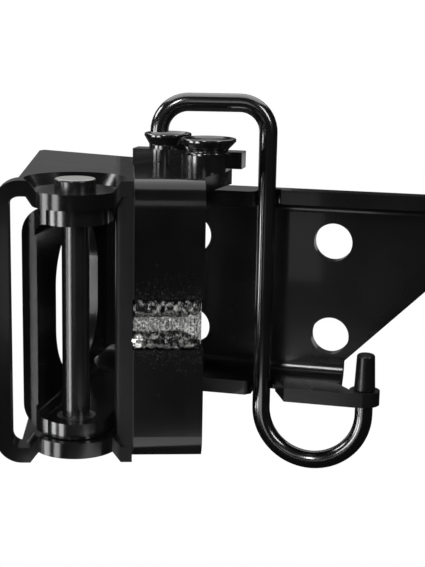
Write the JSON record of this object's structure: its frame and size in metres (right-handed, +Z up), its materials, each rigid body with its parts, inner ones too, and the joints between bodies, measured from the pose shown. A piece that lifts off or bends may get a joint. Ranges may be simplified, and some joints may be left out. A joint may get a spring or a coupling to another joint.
{
  "type": "swing-away trailer tongue hinge bracket",
  "caption": "Folding hinge bracket for a trailer tongue: two formed plate brackets on a vertical pin, latched together by a bent rod that lifts and turns.",
  "frame": {"origin": "middle of the four beam bolt holes, on the side plate's face that meets the beam", "axes": "+X along the side plate away from the hinge, +Y out of the beam face, +Z up along the hinge pin"},
  "size_m": [0.2225, 0.115, 0.1688],
  "materials": {
    "outer_paint": "gloss black paint",
    "inner_paint": "gloss black paint",
    "tab_paint": "gloss black paint",
    "collar_paint": "gloss black paint",
    "rod_paint": "gloss black paint",
    "seam_weld": "painted weld bead",
    "seam_grit": "painted grit and spatter",
    "post_steel": "gloss black paint, worn rim",
    "pin_steel": "gloss black paint, pale head",
    "fitting_steel": "plain turned",
    "cap_rubber": "moulded black rubber"
  },
  "bodies": {
    "inner_bracket": {"inner_end_plate": "inner_paint", "inner_side_plate": "inner_paint", "ear_bush_upper": "fitting_steel", "ear_bush_lower": "fitting_steel", "corner_weld": "seam_weld", "flange_weld_upper": "seam_weld", "flange_weld_lower": "seam_weld", "latch_tab": "tab_paint", "tab_weld": "seam_weld"},
    "outer_bracket": {"outer_upper_shell": "outer_paint", "outer_lower_shell": "outer_paint", "seam_strip": "seam_grit", "seam_weld_upper": "seam_weld", "seam_weld_lower": "seam_weld", "hinge_pin": "pin_steel", "hinge_pin_washer": "fitting_steel", "hinge_pin_clip": "fitting_steel", "latch_collar": "collar_paint", "latch_post_back": "post_steel", "latch_post_front": "post_steel", "post_ring_front": "post_steel"},
    "rod_cap_body": {"rod_cap": "cap_rubber"},
    "rod_body": {"latch_rod": "rod_paint"}
  },
  "joints": [
    {"name": "hinge_swing", "type": "hinge", "parent": "inner_bracket", "child": "outer_bracket", "pos_m": [-0.05965, -0.09575, 0], "axis": [0, 0, -1], "range_deg": [0, 45]},
    {"name": "latch_lift", "type": "slide", "parent": "inner_bracket", "child": "rod_cap_body", "axis": [0, 0, 1], "range_m": [0, 0.008]},
    {"name": "latch_turn", "type": "hinge", "parent": "rod_cap_body", "child": "rod_body", "pos_m": [0.05215, -0.02675, 0], "axis": [0, 0, 1], "range_deg": [0, 90]}
  ]
}
